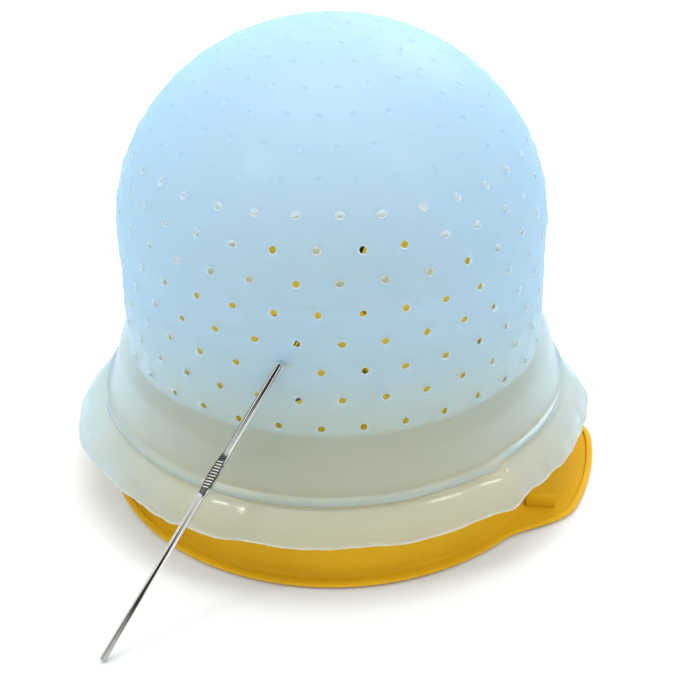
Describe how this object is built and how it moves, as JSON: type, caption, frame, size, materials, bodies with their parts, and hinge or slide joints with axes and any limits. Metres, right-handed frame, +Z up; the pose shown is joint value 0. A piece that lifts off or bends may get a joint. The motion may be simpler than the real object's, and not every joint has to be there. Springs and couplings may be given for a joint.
{
  "type": "highlighting cap",
  "caption": "Perforated silicone hair highlighting cap seated on a slotted moulded stand, with a steel pulling hook pushed through one of its holes.",
  "frame": {"origin": "centre of the stand's open mouth, on the plane that the stand rests on", "axes": "+Z up the cap's axis of revolution, -Y towards the side where the hook goes in, +X to the right seen from there"},
  "size_m": [0.2204, 0.2416, 0.187],
  "materials": {
    "silicone": "translucent satin silicone",
    "yellow_plastic": "satin moulded plastic",
    "steel": "polished nickel-plated steel",
    "steel_flat": "pressed, slightly dull steel"
  },
  "bodies": {
    "stand": {"stand_plate": "yellow_plastic", "stand_drum": "yellow_plastic", "stand_rim": "yellow_plastic", "lug_ribs": "yellow_plastic"},
    "cap": {"cap_top": "silicone", "cap_crown": "silicone", "cap_wall": "silicone", "cap_shoulder": "silicone", "cap_skirt": "silicone"},
    "hook": {"hook_handle": "steel", "hook_thumb_rest": "steel_flat", "hook_shaft": "steel", "hook_head": "steel"}
  },
  "joints": [
    {"name": "cap_lift", "type": "slide", "parent": "stand", "child": "cap", "axis": [0, 0, 1], "range_m": [0, 0.1]},
    {"name": "hook_push", "type": "slide", "parent": "cap", "child": "hook", "axis": [0.5344, 0.4116, 0.7383], "range_m": [0, 0.03]}
  ]
}
